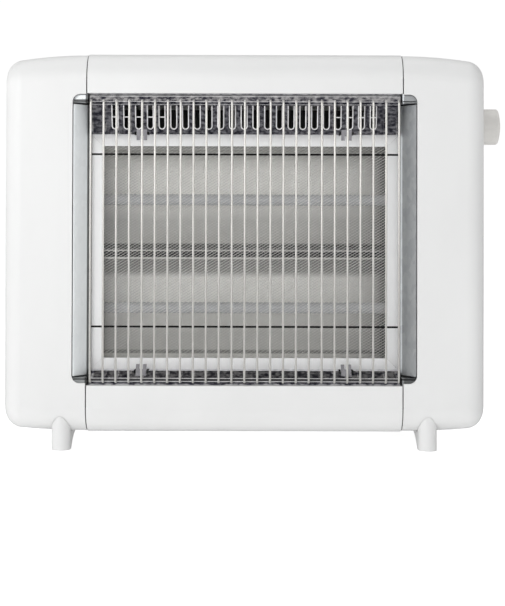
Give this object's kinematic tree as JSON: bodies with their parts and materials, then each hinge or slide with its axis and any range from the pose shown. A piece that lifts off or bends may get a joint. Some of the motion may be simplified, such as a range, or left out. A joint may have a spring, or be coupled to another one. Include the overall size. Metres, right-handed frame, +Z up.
{
  "type": "halogen heater",
  "caption": "White retro electric halogen heater with a wire guard, slotted bright reflector, mesh-covered tubes, a side control knob and arched feet.",
  "frame": {"origin": "middle of the heater's footprint box, knob included, on the floor", "axes": "+Z up, +X towards the control knob, the window faces -Y"},
  "size_m": [0.5104, 0.1625, 0.399],
  "materials": {
    "white_plastic": "satin white",
    "white_paint": "satin white",
    "knob_plastic": "satin grey-white",
    "guard_chrome": "bright plated",
    "galvanised": "mottled zinc",
    "bright_sheet": "mirror bright",
    "mesh_wire": "bright",
    "quartz": "frosted",
    "filament_wire": "dull",
    "white_ceramic": "matt",
    "dark_plastic": "matt black",
    "plated_steel": "zinc plated"
  },
  "bodies": {
    "case": {"left_end_cap": "white_plastic", "right_end_cap": "white_plastic", "top_panel": "white_paint", "bottom_panel": "white_paint", "back_cover": "white_paint", "left_foot": "white_plastic", "right_foot": "white_plastic", "guard_uprights": "guard_chrome", "guard_cross_wires": "guard_chrome", "left_side_plate": "galvanised", "right_side_plate": "galvanised", "top_reflector": "bright_sheet", "bottom_reflector": "bright_sheet", "frame_top_rail": "white_paint", "frame_bottom_rail": "white_paint", "frame_left_rail": "white_paint", "frame_right_rail": "white_paint", "frame_clips": "guard_chrome", "mesh_panel": "mesh_wire", "upper_reflector": "bright_sheet", "lower_reflector": "bright_sheet", "heat_shield": "galvanised", "upper_heating_tube": "quartz", "lower_heating_tube": "quartz", "upper_filament": "filament_wire", "lower_filament": "filament_wire", "upper_left_ceramic_end": "white_ceramic", "upper_right_ceramic_end": "white_ceramic", "lower_left_ceramic_end": "white_ceramic", "lower_right_ceramic_end": "white_ceramic", "upper_left_tube_holder": "galvanised", "upper_right_tube_holder": "galvanised", "lower_left_tube_holder": "galvanised", "lower_right_tube_holder": "galvanised", "thermal_cutout": "dark_plastic", "terminal_block": "dark_plastic", "cord_gland": "dark_plastic", "rotary_switch": "dark_plastic", "tip_switch_housing": "galvanised", "tip_switch_pin": "plated_steel", "tip_switch_contact": "dark_plastic", "back_cover_screws": "plated_steel", "foot_screws": "plated_steel"},
    "knob": {"control_knob": "knob_plastic", "switch_shaft": "plated_steel"},
    "pendulum": {"tip_switch_pendulum": "plated_steel"}
  },
  "joints": [
    {"name": "knob_turn", "type": "hinge", "parent": "case", "child": "knob", "pos_m": [0.2282, 0, 0.3297], "axis": [1, 0, 0], "range_deg": [0, 120]},
    {"name": "pendulum_swing", "type": "hinge", "parent": "case", "child": "pendulum", "pos_m": [-0.1838, 0, 0.0975], "axis": [1, 0, 0], "range_deg": [-25, 25]}
  ]
}
